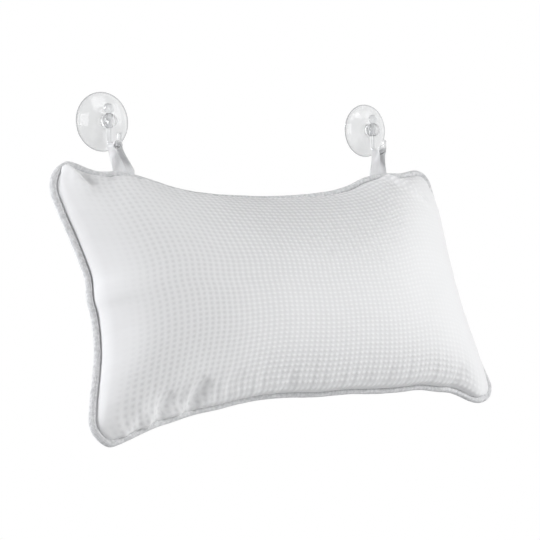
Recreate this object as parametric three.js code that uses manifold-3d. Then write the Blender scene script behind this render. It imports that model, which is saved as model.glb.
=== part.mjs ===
// Bath pillow that hangs on a wall by two suction cups, in millimetres, +Z up.
// The wall is the plane Y = 0 behind the pillow, and the front of the pillow looks towards -Y.
// The origin lies on the wall, midway between the centres of the two cups.
import * as THREE from 'three';
import { mergeVertices } from 'three/addons/utils/BufferGeometryUtils.js';
import Module from 'manifold-3d';

const wasm = await Module();
wasm.setup();

// Pillow: outline of the seam, crown and lean
const pillowHalfWidth = 189;      // middle of the piping at the lower corners
const pillowHalfHeight = 102;
const frontCrown = 48.5;          // front face in front of the seam's plane
const backCrown = 47.5;           // back face behind it
const leanDegrees = 19.7;         // top near the wall, foot away from it
const fabricThickness = 1.6;      // waffle cloth
const seamAllowance = 9;          // both edges of the bias strip inside the seam
const stripThickness = 0.5;       // bias strip of the piping
const pipingRadius = 2.5;
const cordRadius = 1.5;
const layerGap = 0.3;             // between pieces that touch
const fillingSlack = 0.95;        // between the wadding and the cloth

// Suction cup, turned about an axis along Y
const cupRadius = 22.5;
const lipWidth = 3;               // flat ring that meets the wall
const lipThickness = 0.9;
const dishDepth = 3.8;            // hollow under the cup
const dishWall = 2;
const flareRadius = 8;            // foot of the neck on the dish
const bossRadius = 5.2;           // round stub that the shank crosses
const bossEdge = 2;               // rounding of its front edge
const shankOffset = 10.3;         // axis of the cross bore in front of the wall
const boreClearance = 0.35;       // round the shank, all the way round

// Hook: ball, shank and J in one moulding
const rodRadius = 2;
const ballRadius = 4.2;
const hookReach = 15;             // shank's axis to the tip's axis
const hookBend = 4.5;             // radius of the rod's axis in both bends
const hookDrop = 19.5;            // cross bore's axis down to the axis of the bar
const tipHeight = 10.5;           // top of the tip above the axis of the bar

// Ribbon loop
const ribbonWidth = 9.4;
const ribbonFoldWidth = 7.2;      // where it is bunched in the hook
const ribbonThickness = 0.8;
const ribbonRise = 19;            // seat on the seam up to the axis of the bar
const ribbonSet = 2.6;            // the seat stands this far in front of the bar's middle
const strandGap = 0.6;            // between the two strands at the seam
const loopShare = 0.664;          // middle of a loop at the seam, of the pillow's half width
const cupOutset = 4.5;            // a cup's centre stands this far outside the middle of its loop
const seatDegrees = 40;           // where the ribbon leaves the piping, behind its top

// Places of the loops and cups, each side of the middle
const loopAcross = loopShare * pillowHalfWidth;
const cupAcross = loopAcross + cupOutset;

// How finely the round shapes are cut
const outlineSteps = 80;
const ringShares = [0, 0.28, 0.52, 0.72, 0.87, 0.96, 1];
const stripTurns = 6;
const cupSteps = 36;
const boreSteps = 18;
const curveSteps = 4;
const rodSides = 12;
const bendSteps = 6;
const ballSteps = 7;
const tipSteps = 4;
const cordSides = 8;
const strandSteps = 14;
const foldSteps = 10;
const halvings = 30;              // in the search for the seam's height under a loop
const weldDistance = 1e-4;        // points closer than this are one point

// Colours and finishes
const cloth = { color: 0xe4e6ea, roughness: 0.95, metalness: 0 };
const stripCloth = { color: 0xdcdfe4, roughness: 0.9, metalness: 0 };
const wadding = { color: 0xf4f4f2, roughness: 1, metalness: 0 };
const cotton = { color: 0xeeeae0, roughness: 0.95, metalness: 0 };
const satin = { color: 0xeceef0, roughness: 0.35, metalness: 0 };
const softVinyl = { color: 0xdfe4e6, roughness: 0.12, metalness: 0, transparent: true, opacity: 0.55 };
const clearPlastic = { color: 0xe6eaec, roughness: 0.08, metalness: 0, transparent: true, opacity: 0.6 };

// Right half of the seam's outline, as shares of the half width and half height,
// from the middle of the top edge clockwise to the middle of the bottom edge.
// The loops lift the top edge near its corners, and every edge is drawn in between them.
const seamShares = [
  [0, 0.77], [0.21, 0.78], [0.36, 0.81], [0.48, 0.865], [0.56, 0.92], [0.62, 0.95],
  [0.72, 0.965], [0.83, 0.975], [0.90, 1.01], [0.95, 1], [0.98, 0.92], [0.972, 0.70],
  [0.943, 0.44], [0.926, 0.14], [0.928, -0.16], [0.948, -0.44], [0.978, -0.70], [1, -0.88],
  [0.985, -0.965], [0.94, -0.995], [0.85, -0.95], [0.74, -0.895], [0.58, -0.845], [0.37, -0.815],
  [0, -0.80],
];

const topEdgeShare = 0.19;        // of the way round, from its start to the top corner

// Oval that the crown follows near its middle, as shares of the half width and half height.
const ovalShares = [0.92, 0.79];
const crownPowers = { outline: 3, shoulders: 0.62 }; // late outline, full shoulders

// Bends of the cup's profile, as shares of its radius.
const hollowShare = 0.55;
const domeShare = 0.66;

function bufferGeometry(points, index) {
  const geometry = new THREE.BufferGeometry();
  const positions = points.flatMap((p) => [p.x, p.y, p.z]);
  geometry.setAttribute('position', new THREE.Float32BufferAttribute(positions, 3));
  geometry.setIndex(index);
  return geometry;
}

// A closed mesh from rings with the same number of points, each running anticlockwise
// about the way forward. An open row of rings gets a face at both ends.
function loft(rings, closed) {
  const count = rings[0].length;
  const points = rings.flat();
  const index = [];
  const spans = closed ? rings.length : rings.length - 1;
  for (let i = 0; i < spans; i++) {
    const here = i * count;
    const next = ((i + 1) % rings.length) * count;
    for (let j = 0; j < count; j++) {
      const k = (j + 1) % count;
      index.push(here + j, here + k, next + k, here + j, next + k, next + j);
    }
  }
  const cap = (start, order) => {
    const ring = points.slice(start, start + count);
    const hub = points.push(ring.reduce((sum, p) => sum.add(p), new THREE.Vector3())
      .divideScalar(count)) - 1;
    for (let j = 0; j < count; j++) {
      index.push(hub, ...order(start + j, start + (j + 1) % count));
    }
  };
  if (!closed) {
    cap(0, (a, b) => [b, a]);
    cap((rings.length - 1) * count, (a, b) => [a, b]);
  }
  return bufferGeometry(points, index);
}

function asSolid(geometry) {
  const bare = geometry.clone();
  bare.deleteAttribute('normal');
  bare.deleteAttribute('uv');
  const merged = mergeVertices(bare, weldDistance);
  const vertProperties = new Float32Array(merged.attributes.position.array);
  const triVerts = new Uint32Array(merged.index.array);
  return new wasm.Manifold(new wasm.Mesh({ numProp: 3, vertProperties, triVerts }));
}

function asGeometry(solid) {
  const mesh = solid.getMesh();
  const geometry = new THREE.BufferGeometry();
  geometry.setAttribute('position', new THREE.Float32BufferAttribute(mesh.vertProperties, 3));
  geometry.setIndex(new THREE.Uint32BufferAttribute(mesh.triVerts, 1));
  return geometry;
}

function piece(name, geometry, finish) {
  const mesh = new THREE.Mesh(geometry, new THREE.MeshStandardMaterial(finish));
  mesh.name = name;
  return mesh;
}

// The seam's outline in the pillow's own plane: X across, Z up, and Y out of the back.
const rightHalf = seamShares.map(([across, up]) => new THREE.Vector3(
  across * pillowHalfWidth, 0, up * pillowHalfHeight));
const leftHalf = rightHalf.slice(1, -1).reverse().map((p) => new THREE.Vector3(-p.x, 0, p.z));
const seamCurve = new THREE.CatmullRomCurve3([...rightHalf, ...leftHalf], true, 'centripetal');

// Points on the seam, closer together at the corners, with the outward direction at each.
function seamStations() {
  const stations = [];
  for (let i = 0; i < outlineSteps; i++) {
    const at = seamCurve.getPoint(i / outlineSteps);
    const along = seamCurve.getTangent(i / outlineSteps);
    stations.push({ at, out: new THREE.Vector3(-along.z, 0, along.x).normalize() });
  }
  return stations;
}

// Height of the seam's top edge at a distance across, found by halving the stretch that holds it.
function topEdgeAt(across) {
  let low = 0;
  let high = topEdgeShare;
  for (let i = 0; i < halvings; i++) {
    const middle = (low + high) / 2;
    if (seamCurve.getPoint(middle).x < across) low = middle;
    else high = middle;
  }
  return seamCurve.getPoint(low).z;
}

// Rings of one face, from the middle out: ovals near the middle that grow into the outline.
// side is -1 for the front and 1 for the back.
function faceRings(side, foot, rise, inset, reachShare) {
  const [width, height] = [ovalShares[0] * pillowHalfWidth, ovalShares[1] * pillowHalfHeight];
  const edges = seamStations().map(({ at, out }) => (
    at.clone().addScaledVector(out, -inset)));
  return ringShares.map((ringShare) => edges.map((edge) => {
    const share = ringShare * reachShare;
    const angle = Math.atan2(edge.z / height, edge.x / width);
    const point = new THREE.Vector3(width * Math.cos(angle), 0, height * Math.sin(angle));
    const outlineShare = share ** crownPowers.outline;
    point.lerp(edge, outlineShare).multiplyScalar(share);
    point.y = side * (foot + rise * (1 - outlineShare) ** crownPowers.shoulders);
    return point;
  }));
}

// A closed mesh between two stacks of rings that share their number of points.
function discGeometry(upper, lower, side) {
  const count = upper[0].length;
  const stack = [...upper.slice(1), ...lower.slice(1).reverse()];
  const points = [...stack.flat(), upper[0][0], lower[0][0]];
  const hub = stack.length * count;
  const last = (stack.length - 1) * count;
  const index = [];
  const face = (a, b, c) => index.push(...(side < 0 ? [a, c, b] : [a, b, c]));
  for (let j = 0; j < count; j++) {
    const k = (j + 1) % count;
    face(hub, j, k);
    face(hub + 1, last + k, last + j);
    for (let start = 0; start < last; start += count) {
      const next = start + count;
      face(start + j, next + j, next + k);
      face(start + j, next + k, start + k);
    }
  }
  return bufferGeometry(points, index);
}

// A panel's edge lies on the bias strip's inner layers.
const panelFoot = layerGap / 2 + stripThickness + layerGap;

function panelGeometry(side, crown) {
  const rise = crown - fabricThickness;
  const inset = pipingRadius + layerGap;
  const outer = faceRings(side, panelFoot + fabricThickness, rise, inset, 1);
  const inner = faceRings(side, panelFoot, rise, inset, 1);
  return discGeometry(outer, inner, side);
}

// The wadding fills the case as far as the seam allowance.
function fillingGeometry() {
  const strip = pipingRadius + seamAllowance + layerGap;
  const nearest = Math.min(...seamStations().map(({ at, out }) => at.dot(out)));
  const reachShare = 1 - strip / nearest;
  const foot = panelFoot - fillingSlack;
  const inset = pipingRadius + layerGap + fillingSlack;
  const front = faceRings(-1, foot, frontCrown - fabricThickness, inset, reachShare);
  const back = faceRings(1, foot, backCrown - fabricThickness, inset, reachShare);
  return discGeometry(front, back, -1);
}

// Section of the bias strip: round the cord, then two layers that run inwards side by side.
// First number outwards from the seam, second number towards the back.
function stripSection() {
  const half = layerGap / 2;
  const inner = pipingRadius - stripThickness;
  const tail = -pipingRadius - seamAllowance;
  const arc = (radius, from) => Array.from({ length: stripTurns + 1 }, (_, i) => {
    const angle = from * (1 - 2 * i / stripTurns);
    return [radius * Math.cos(angle), radius * Math.sin(angle)];
  });
  const outerFrom = Math.PI - Math.asin((half + stripThickness) / pipingRadius);
  const innerFrom = Math.PI - Math.asin(half / inner);
  return [
    [tail, half + stripThickness], ...arc(pipingRadius, outerFrom), [tail, -half - stripThickness],
    [tail, -half], ...arc(inner, -innerFrom), [tail, half],
  ];
}

function cordSection() {
  return Array.from({ length: cordSides }, (_, i) => {
    const angle = -2 * Math.PI * i / cordSides;
    return [cordRadius * Math.cos(angle), cordRadius * Math.sin(angle)];
  });
}

function roundTheSeam(section) {
  const rings = seamStations().map(({ at, out }) => section.map(([outwards, back]) => {
    const point = at.clone().addScaledVector(out, outwards);
    point.y += back;
    return point;
  }));
  return loft(rings, true);
}

// Suction cup with its centre on the wall: dish, flare and boss, bored across for the shank.
function cupGeometry() {
  const domeTop = dishDepth + dishWall;
  const front = shankOffset + bossRadius;
  const profile = new THREE.Path();
  profile.moveTo(0, dishDepth);
  profile.quadraticCurveTo(cupRadius * hollowShare, dishDepth, cupRadius - lipWidth, 0);
  profile.lineTo(cupRadius, 0);
  profile.lineTo(cupRadius, lipThickness);
  profile.quadraticCurveTo(cupRadius * domeShare, domeTop, flareRadius, domeTop);
  profile.quadraticCurveTo(bossRadius, domeTop, bossRadius, shankOffset - rodRadius);
  profile.lineTo(bossRadius, front - bossEdge);
  profile.quadraticCurveTo(bossRadius, front, bossRadius - bossEdge, front);
  profile.lineTo(0, front);
  const points = profile.getPoints(curveSteps);
  const turned = new THREE.LatheGeometry(points, cupSteps);
  turned.rotateX(Math.PI);
  const boreRadius = rodRadius + boreClearance;
  const bore = new THREE.CylinderGeometry(boreRadius, boreRadius, 2 * front, boreSteps);
  bore.rotateX(Math.PI / 2);
  bore.translate(0, -shankOffset, 0);
  return asGeometry(asSolid(turned).subtract(asSolid(bore)));
}

// The ball rests on the rim of the bore, at the front and back of the boss's straight top.
const ballHeight = bossRadius + Math.sqrt(
  (ballRadius + layerGap) ** 2 - (rodRadius + boreClearance) ** 2);

// Stations down the hook: a place in the plane X = 0, how far the rod has turned, its radius.
// The shank runs down Z, and the bar of the J towards -Y.
function hookStations() {
  const stations = [];
  const ballEnd = Math.PI - Math.asin(rodRadius / ballRadius);
  for (let i = 1; i <= ballSteps; i++) {
    const angle = ballEnd * i / ballSteps;
    const z = ballHeight + ballRadius * Math.cos(angle);
    stations.push({ y: 0, z, turn: 0, radius: ballRadius * Math.sin(angle) });
  }
  for (let i = 0; i <= 2 * bendSteps + 1; i++) {
    const second = i > bendSteps;
    const turn = (Math.PI / 2) * (second ? i - 1 : i) / bendSteps;
    const y = (second ? hookBend - hookReach : -hookBend) + hookBend * Math.cos(turn);
    const z = hookBend - hookDrop - hookBend * Math.sin(turn);
    stations.push({ y, z, turn, radius: rodRadius });
  }
  for (let i = 0; i < tipSteps; i++) {
    const angle = (Math.PI / 2) * i / tipSteps;
    const z = tipHeight - hookDrop - rodRadius + rodRadius * Math.sin(angle);
    stations.push({ y: -hookReach, z, turn: Math.PI, radius: rodRadius * Math.cos(angle) });
  }
  return stations;
}

function hookGeometry() {
  const rings = hookStations().map(({ y, z, turn, radius }) => (
    Array.from({ length: rodSides }, (_, j) => {
      const angle = 2 * Math.PI * j / rodSides;
      const inPlane = radius * Math.sin(angle);
      return new THREE.Vector3(-radius * Math.cos(angle), y + inPlane * Math.cos(turn),
        z - inPlane * Math.sin(turn));
    })));
  return loft(rings, false);
}

// Section of the ribbon, as shares of half its width and half its thickness.
const ribbonSectionShares = [
  [-1, -1], [-1 / 3, -1], [1 / 3, -1], [1, -1], [1, 1], [1 / 3, 1], [-1 / 3, 1], [-1, 1],
];

// Ribbon loop with its seat on the seam at the origin. Both strands lie flat at the seam,
// turn edge on as they rise and meet in a fold over the bar. side is -1 left and 1 right.
function loopGeometry(side) {
  const wrap = rodRadius + layerGap + ribbonThickness / 2;
  const spread = (ribbonWidth + strandGap) / 2;
  const shift = side * cupOutset;
  const middle = [];
  const strandAt = (sign, share) => {
    const ease = THREE.MathUtils.smoothstep(share, 0, 1);
    const across = sign * (spread + (wrap - spread) * ease) + shift * share;
    middle.push({ at: new THREE.Vector3(across, ribbonSet * share, ribbonRise * share), ease });
  };
  for (let i = 0; i < strandSteps; i++) strandAt(-1, i / strandSteps);
  for (let i = 0; i <= foldSteps; i++) {
    const angle = Math.PI * (1 - i / foldSteps);
    const at = new THREE.Vector3(shift + wrap * Math.cos(angle), ribbonSet,
      ribbonRise + wrap * Math.sin(angle));
    middle.push({ at, ease: 1 });
  }
  for (let i = strandSteps - 1; i >= 0; i--) strandAt(1, i / strandSteps);
  const rings = middle.map(({ at, ease }, i) => {
    const before = middle[Math.max(i - 1, 0)].at;
    const after = middle[Math.min(i + 1, middle.length - 1)].at;
    const along = after.clone().sub(before).normalize();
    const turn = (Math.PI / 2) * ease;
    const wide = new THREE.Vector3(side * Math.cos(turn), Math.sin(turn), 0);
    const thick = along.clone().cross(wide).normalize();
    const width = ribbonWidth + (ribbonFoldWidth - ribbonWidth) * ease;
    return ribbonSectionShares.map(([w, t]) => at.clone()
      .addScaledVector(wide, w * width / 2)
      .addScaledVector(thick, t * ribbonThickness / 2));
  });
  return loft(rings, false);
}

// Places: the shank's axis and the bar hang from the cups, the seat from the bar, and the
// pillow from the seat, which lies on the back of the piping at its top.
const lean = THREE.MathUtils.degToRad(leanDegrees);
const seatAngle = THREE.MathUtils.degToRad(seatDegrees);
const seatRadius = pipingRadius + layerGap + ribbonThickness / 2;
const barY = -shankOffset - hookReach / 2;
const seat = new THREE.Vector3(0, barY - ribbonSet, -hookDrop - ribbonRise);
const seamUnderLoop = Math.max(...[-1, 0, 1].map((side) => (
  topEdgeAt(loopAcross + side * (ribbonWidth + strandGap / 2)))));
const seatInPillow = new THREE.Vector3(0, seatRadius * Math.sin(seatAngle),
  seamUnderLoop + seatRadius * Math.cos(seatAngle));

function makePillow() {
  const pillow = new THREE.Group();
  pillow.rotation.x = -lean;
  pillow.position.copy(seat).sub(seatInPillow.clone().applyEuler(pillow.rotation));
  pillow.add(
    piece('front_panel', panelGeometry(-1, frontCrown), cloth),
    piece('back_panel', panelGeometry(1, backCrown), cloth),
    piece('filling', fillingGeometry(), wadding),
    piece('piping_cover', roundTheSeam(stripSection()), stripCloth),
    piece('piping_cord', roundTheSeam(cordSection()), cotton),
  );
  return pillow;
}

function makeHanger(name, side) {
  const hanger = new THREE.Group();
  const loop = piece(`${name}_loop`, loopGeometry(side), satin);
  loop.position.set(side * loopAcross, seat.y, seat.z);
  const hook = piece(`${name}_hook`, hookGeometry(), clearPlastic);
  hook.position.set(side * cupAcross, -shankOffset, 0);
  const cup = piece(`${name}_cup`, cupGeometry(), softVinyl);
  cup.position.set(side * cupAcross, 0, 0);
  hanger.add(loop, hook, cup);
  return hanger;
}

const bathPillow = new THREE.Group();
bathPillow.add(makePillow(), makeHanger('left', -1), makeHanger('right', 1));

export default bathPillow;
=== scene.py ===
import math

import bmesh
import bpy
import numpy as np
from mathutils import Matrix, Vector


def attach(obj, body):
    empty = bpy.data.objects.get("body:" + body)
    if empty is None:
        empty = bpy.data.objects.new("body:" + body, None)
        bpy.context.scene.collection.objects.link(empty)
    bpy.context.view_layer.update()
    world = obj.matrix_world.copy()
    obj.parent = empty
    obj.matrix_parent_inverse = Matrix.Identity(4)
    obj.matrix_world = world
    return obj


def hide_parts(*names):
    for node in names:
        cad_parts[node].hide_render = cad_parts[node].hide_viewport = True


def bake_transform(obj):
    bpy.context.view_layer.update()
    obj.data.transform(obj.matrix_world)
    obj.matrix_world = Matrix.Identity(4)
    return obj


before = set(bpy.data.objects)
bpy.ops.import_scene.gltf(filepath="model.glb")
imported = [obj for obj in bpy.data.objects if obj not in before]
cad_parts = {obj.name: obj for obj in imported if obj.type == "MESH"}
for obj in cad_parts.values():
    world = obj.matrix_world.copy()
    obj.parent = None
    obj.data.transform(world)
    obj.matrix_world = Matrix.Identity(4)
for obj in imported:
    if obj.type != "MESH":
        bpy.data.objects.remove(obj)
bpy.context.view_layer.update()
print("frame loaded")

mm = 0.001


def addObject(name, data):
    made = bpy.data.objects.new(name, data)
    bpy.context.scene.collection.objects.link(made)
    return made


# ---- camera, background and floor

cameraSetup = {
    "place": (-0.6683, -0.9419, -0.0751),
    "yaw": 36.404,      # degrees to the right of straight at the wall
    "rise": -2.063,
    "roll": -0.76,
    "lens": 94.6,
}


def makeCamera(setup):
    yaw, rise, roll = (math.radians(setup[key]) for key in ("yaw", "rise", "roll"))
    ahead = Vector((math.sin(yaw) * math.cos(rise), math.cos(yaw) * math.cos(rise), math.sin(rise)))
    level = ahead.cross(Vector((0, 0, 1))).normalized()
    upright = level.cross(ahead)
    right = level * math.cos(roll) + upright * math.sin(roll)
    up = upright * math.cos(roll) - level * math.sin(roll)
    data = bpy.data.cameras.new("camera")
    data.lens = setup["lens"]
    data.sensor_width = 36
    data.clip_start = 0.05
    data.clip_end = 50
    camera = addObject("camera", data)
    camera.matrix_world = Matrix.Translation(setup["place"]) @ Matrix((right, up, -ahead)).transposed().to_4x4()
    bpy.context.scene.camera = camera


def addNode(tree, kind, inputs=None, **settings):
    made = tree.nodes.new(kind)
    for key, value in settings.items():
        setattr(made, key, value)
    for key, value in (inputs or {}).items():
        if isinstance(value, bpy.types.NodeSocket):
            tree.links.new(value, made.inputs[key])
        else:
            made.inputs[key].default_value = value
    return made


def mathNode(tree, operation, first, second=None, third=None):
    inputs = {i: v for i, v in enumerate((first, second, third)) if v is not None}
    return addNode(tree, "ShaderNodeMath", inputs, operation=operation).outputs[0]


# White to the camera, and seen so through plastic and in gloss, but a softer fill for the object.
def seenDirectly(tree):
    path = addNode(tree, "ShaderNodeLightPath")
    seen = mathNode(tree, "MAXIMUM", path.outputs["Is Camera Ray"], path.outputs["Is Glossy Ray"])
    return mathNode(tree, "MAXIMUM", seen, path.outputs["Is Transmission Ray"])


studio = {
    "fill": 0.2,
    "fillColor": (0.97, 0.98, 1.0, 1),
    "floorHeight": -0.75,
    "floorRadius": 6.0,
    "floorDark": (0.64, 0.64, 0.64, 1),
    "floorPale": (0.67, 0.67, 0.67, 1),
    "shadowFrom": 0.5,      # the floor turns white from here out to there
    "shadowTo": 1.5,
}


def makeWorld(setup):
    world = bpy.data.worlds.new("studio")
    world.use_nodes = True
    tree = world.node_tree
    tree.nodes.clear()
    fill = addNode(tree, "ShaderNodeBackground", {"Color": setup["fillColor"], "Strength": setup["fill"]})
    white = addNode(tree, "ShaderNodeBackground", {"Color": (1, 1, 1, 1), "Strength": 1.0})
    mixed = addNode(tree, "ShaderNodeMixShader", {
        0: seenDirectly(tree), 1: fill.outputs[0], 2: white.outputs[0]})
    addNode(tree, "ShaderNodeOutputWorld", {0: mixed.outputs[0]})
    bpy.context.scene.world = world


def makeFloor(setup):
    mesh = bpy.data.meshes.new("floor")
    shape = bmesh.new()
    bmesh.ops.create_circle(shape, cap_ends=True, segments=96, radius=setup["floorRadius"])
    bmesh.ops.translate(shape, verts=shape.verts, vec=(0, 0, setup["floorHeight"]))
    shape.to_mesh(mesh)
    shape.free()
    floor = addObject("floor", mesh)
    paint = bpy.data.materials.new("pale_floor")
    paint.use_nodes = True
    tree = paint.node_tree
    tree.nodes.clear()
    place = addNode(tree, "ShaderNodeTexCoord").outputs["Object"]
    flat = addNode(tree, "ShaderNodeVectorMath", {0: place, 1: (1, 1, 0)}, operation="MULTIPLY")
    reach = addNode(tree, "ShaderNodeVectorMath", {0: flat.outputs[0]}, operation="LENGTH")
    far = addNode(tree, "ShaderNodeMapRange", {
        "Value": reach.outputs["Value"], "From Min": setup["shadowFrom"], "From Max": setup["shadowTo"],
    }, interpolation_type="SMOOTHSTEP")
    grain = addNode(tree, "ShaderNodeTexNoise", {"Vector": place, "Scale": 3.0})
    tint = addNode(tree, "ShaderNodeMixRGB", {
        0: grain.outputs[0], 1: setup["floorDark"], 2: setup["floorPale"]})
    matt = addNode(tree, "ShaderNodeBsdfDiffuse", {"Color": tint.outputs[0]})
    white = addNode(tree, "ShaderNodeEmission", {"Strength": 1.0})
    share = mathNode(tree, "MULTIPLY", far.outputs[0], seenDirectly(tree))
    mixed = addNode(tree, "ShaderNodeMixShader", {0: share, 1: matt.outputs[0], 2: white.outputs[0]})
    addNode(tree, "ShaderNodeOutputMaterial", {0: mixed.outputs[0]})
    mesh.materials.append(paint)


pillowMiddle = (0, -0.05, -0.12)
lamps = {
    "leftBehind": {"place": (-1.7, 0.5, 0.5), "size": 0.8, "power": 32, "tint": (0.98, 0.982, 1.0)},
    "rightFront": {"place": (1.2, -1.3, 0.4), "size": 0.8, "power": 8.5, "hidden": "glossy"},
    "frontLow": {"place": (0.5, -1.6, -0.3), "size": 0.8, "power": 4.4, "hidden": "glossy"},
    "frontHigh": {"place": (0.6, -1.5, 1.0), "size": 0.8, "power": 14.8, "hidden": "glossy"},
    "gleamHigh": {"place": (0.6, -1.5, 1.0), "size": 0.6, "power": 6, "hidden": "diffuse"},
    "gleam": {"place": (-0.85, -1.5, 0.2), "aim": (-0.13, 0, 0), "size": 0.9, "power": 8, "hidden": "diffuse"},
}


def makeLamps(setup):
    for name, lamp in setup.items():
        data = bpy.data.lights.new(name, "AREA")
        data.shape = "SQUARE"
        data.size = lamp["size"]
        data.energy = lamp["power"]
        data.color = lamp.get("tint", (1, 1, 1))
        light = addObject(name, data)
        light.location = lamp["place"]
        ahead = Vector(lamp.get("aim", pillowMiddle)) - light.location
        light.rotation_euler = ahead.to_track_quat("-Z", "Y").to_euler()
        if lamp.get("hidden") == "glossy":        # leaves no gleam in the plastic
            light.visible_glossy = False
        if lamp.get("hidden") == "diffuse":       # seen in gloss only
            light.visible_diffuse = False


bpy.context.scene.view_settings.view_transform = "Standard"
makeCamera(cameraSetup)
makeWorld(studio)
makeFloor(studio)
makeLamps(lamps)
print("camera, floor and lamps made")

# ---- helpers for meshes and node trees


def smoothShade(mesh):
    mesh.polygons.foreach_set("use_smooth", [True] * len(mesh.polygons))


def meshOf(name, points, faces):
    mesh = bpy.data.meshes.new(name)
    mesh.from_pydata([tuple(p) for p in points], [], [tuple(f) for f in faces])
    mesh.update()
    smoothShade(mesh)
    return mesh


# Keeps a value at each point of a mesh, for its material or node tree.
def storeValues(mesh, name, values):
    mesh.attributes.new(name, "FLOAT", "POINT").data.foreach_set("value", values.ravel())


# A UV map named weave from one pair for each point.
def storeWeave(mesh, pairs):
    corners = np.zeros(len(mesh.loops), int)
    mesh.loops.foreach_get("vertex_index", corners)
    mesh.uv_layers.new(name="weave").data.foreach_set("uv", pairs[corners].ravel())


def newTree(name, inputs):
    tree = bpy.data.node_groups.new(name, "GeometryNodeTree")
    tree.interface.new_socket("Geometry", in_out="INPUT", socket_type="NodeSocketGeometry")
    for label, kind, value in inputs:
        socket = tree.interface.new_socket(label, in_out="INPUT", socket_type="NodeSocket" + kind)
        if value is not None:
            socket.default_value = value
    tree.interface.new_socket("Geometry", in_out="OUTPUT", socket_type="NodeSocketGeometry")
    return tree, tree.nodes.new("NodeGroupInput").outputs


def endTree(tree, geometry, material):
    real = addNode(tree, "GeometryNodeRealizeInstances", {0: geometry})
    dressed = addNode(tree, "GeometryNodeSetMaterial", {"Geometry": real.outputs[0], "Material": material})
    addNode(tree, "NodeGroupOutput", {0: dressed.outputs[0]})


# Runs a node tree on an object with these values and keeps the result as its plain mesh.
def bakeTree(obj, tree, values):
    modifier = obj.modifiers.new(tree.name, "NODES")
    modifier.node_group = tree
    for item in tree.interface.items_tree:
        if item.item_type == "SOCKET" and item.in_out == "INPUT" and item.name in values:
            modifier[item.identifier] = values[item.name]
    return bakeModifiers(obj)


def bakeModifiers(obj):
    bpy.context.view_layer.update()
    evaluated = obj.evaluated_get(bpy.context.evaluated_depsgraph_get())
    mesh = bpy.data.meshes.new_from_object(evaluated)
    name = obj.name
    bpy.data.objects.remove(obj)
    mesh.name = name
    return addObject(name, mesh)


def coordinates(mesh):
    flat = np.zeros(len(mesh.vertices) * 3)
    mesh.vertices.foreach_get("co", flat)
    return flat.reshape(-1, 3)


# ---- the pillow's own frame: u across, v up the pillow, w out of its back

pillow = {
    "centre": (0, -56.3244 * mm, -132.731 * mm),
    "lean": 19.7,
    "cells": (75, 50),                 # waffle cells across and up
    "cut": (378 * mm, 204 * mm),       # one panel before it is sewn
    "frontCrown": 48.5 * mm,
    "backCrown": 47.3 * mm,
    "seamInset": 2.2 * mm,             # the panels' edge, inside the middle of the piping
    "edgeRise": 0.9 * mm,
    "clothThickness": 1.2 * mm,
    "bulge": 1.2 * mm,                 # how far the filling pushes the cloth out past the seam
    "bottomBulge": 1.8 * mm,           # and how much more along the bottom
    "bottomTilt": 2.6,                 # share by which that grows for each metre to the left
    "rightBulge": 1.0 * mm,
    "topLess": 0.7,                    # share of it all that is missing along the top
    "bulgeHeight": 8 * mm,
    "bulgeBlend": 4 * mm,
    "finer": 4,                        # mesh cells in a waffle cell, each way
}

# Middle of the piping in millimetres, clockwise from the top middle. The left is the side that
# the loop pulls higher, and its edges are the more wavy.
seamPoints = [
    (0, 78.0), (40, 79.5), (68, 82.5), (90, 87.6), (104, 93), (118, 96.6), (136, 98.6), (150, 98.8),
    (160, 100.6), (169.5, 102), (177, 100.2), (181, 94.2), (181.4, 82), (180.4, 64), (177.8, 44),
    (175.6, 14), (176.2, -16), (180.2, -44), (186.4, -68), (192, -84.5), (193, -92.5), (188.5, -99),
    (179.5, -102), (168, -100.4), (158, -96), (147, -91.6), (130, -89), (112, -86), (90, -86), (68, -85.4),
    (38, -83.2), (5, -82.6), (-24, -80.6), (-45, -80.2), (-66, -81.6), (-87, -84.2), (-107, -86),
    (-127, -89.6), (-142, -92.2), (-152, -95), (-165, -98.8), (-174, -101.2), (-180.5, -102),
    (-185.5, -98.5), (-189.6, -92.5), (-190.6, -86.5), (-188.4, -77), (-182.8, -59), (-177.6, -43),
    (-175.4, -33), (-173.4, -12), (-174.2, 0), (-172.4, 16), (-173.6, 27), (-178.6, 49), (-184.2, 70),
    (-186.6, 84), (-185.4, 92), (-181.9, 98.4), (-176.6, 102.9), (-171.2, 105.2), (-164.4, 103.4),
    (-156, 99.8), (-147.6, 97.6), (-133, 97.8), (-121, 96.4), (-111, 93.8), (-99, 89.8), (-80, 84.2),
    (-60, 81.0), (-32, 78.8),
]


def toRow(points):
    lean = math.radians(pillow["lean"])
    u, w, v = np.asarray(points, float).reshape(-1, 3).T
    turned = np.stack([u, w * math.cos(lean) + v * math.sin(lean), v * math.cos(lean) - w * math.sin(lean)], 1)
    return turned + np.array(pillow["centre"])


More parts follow.
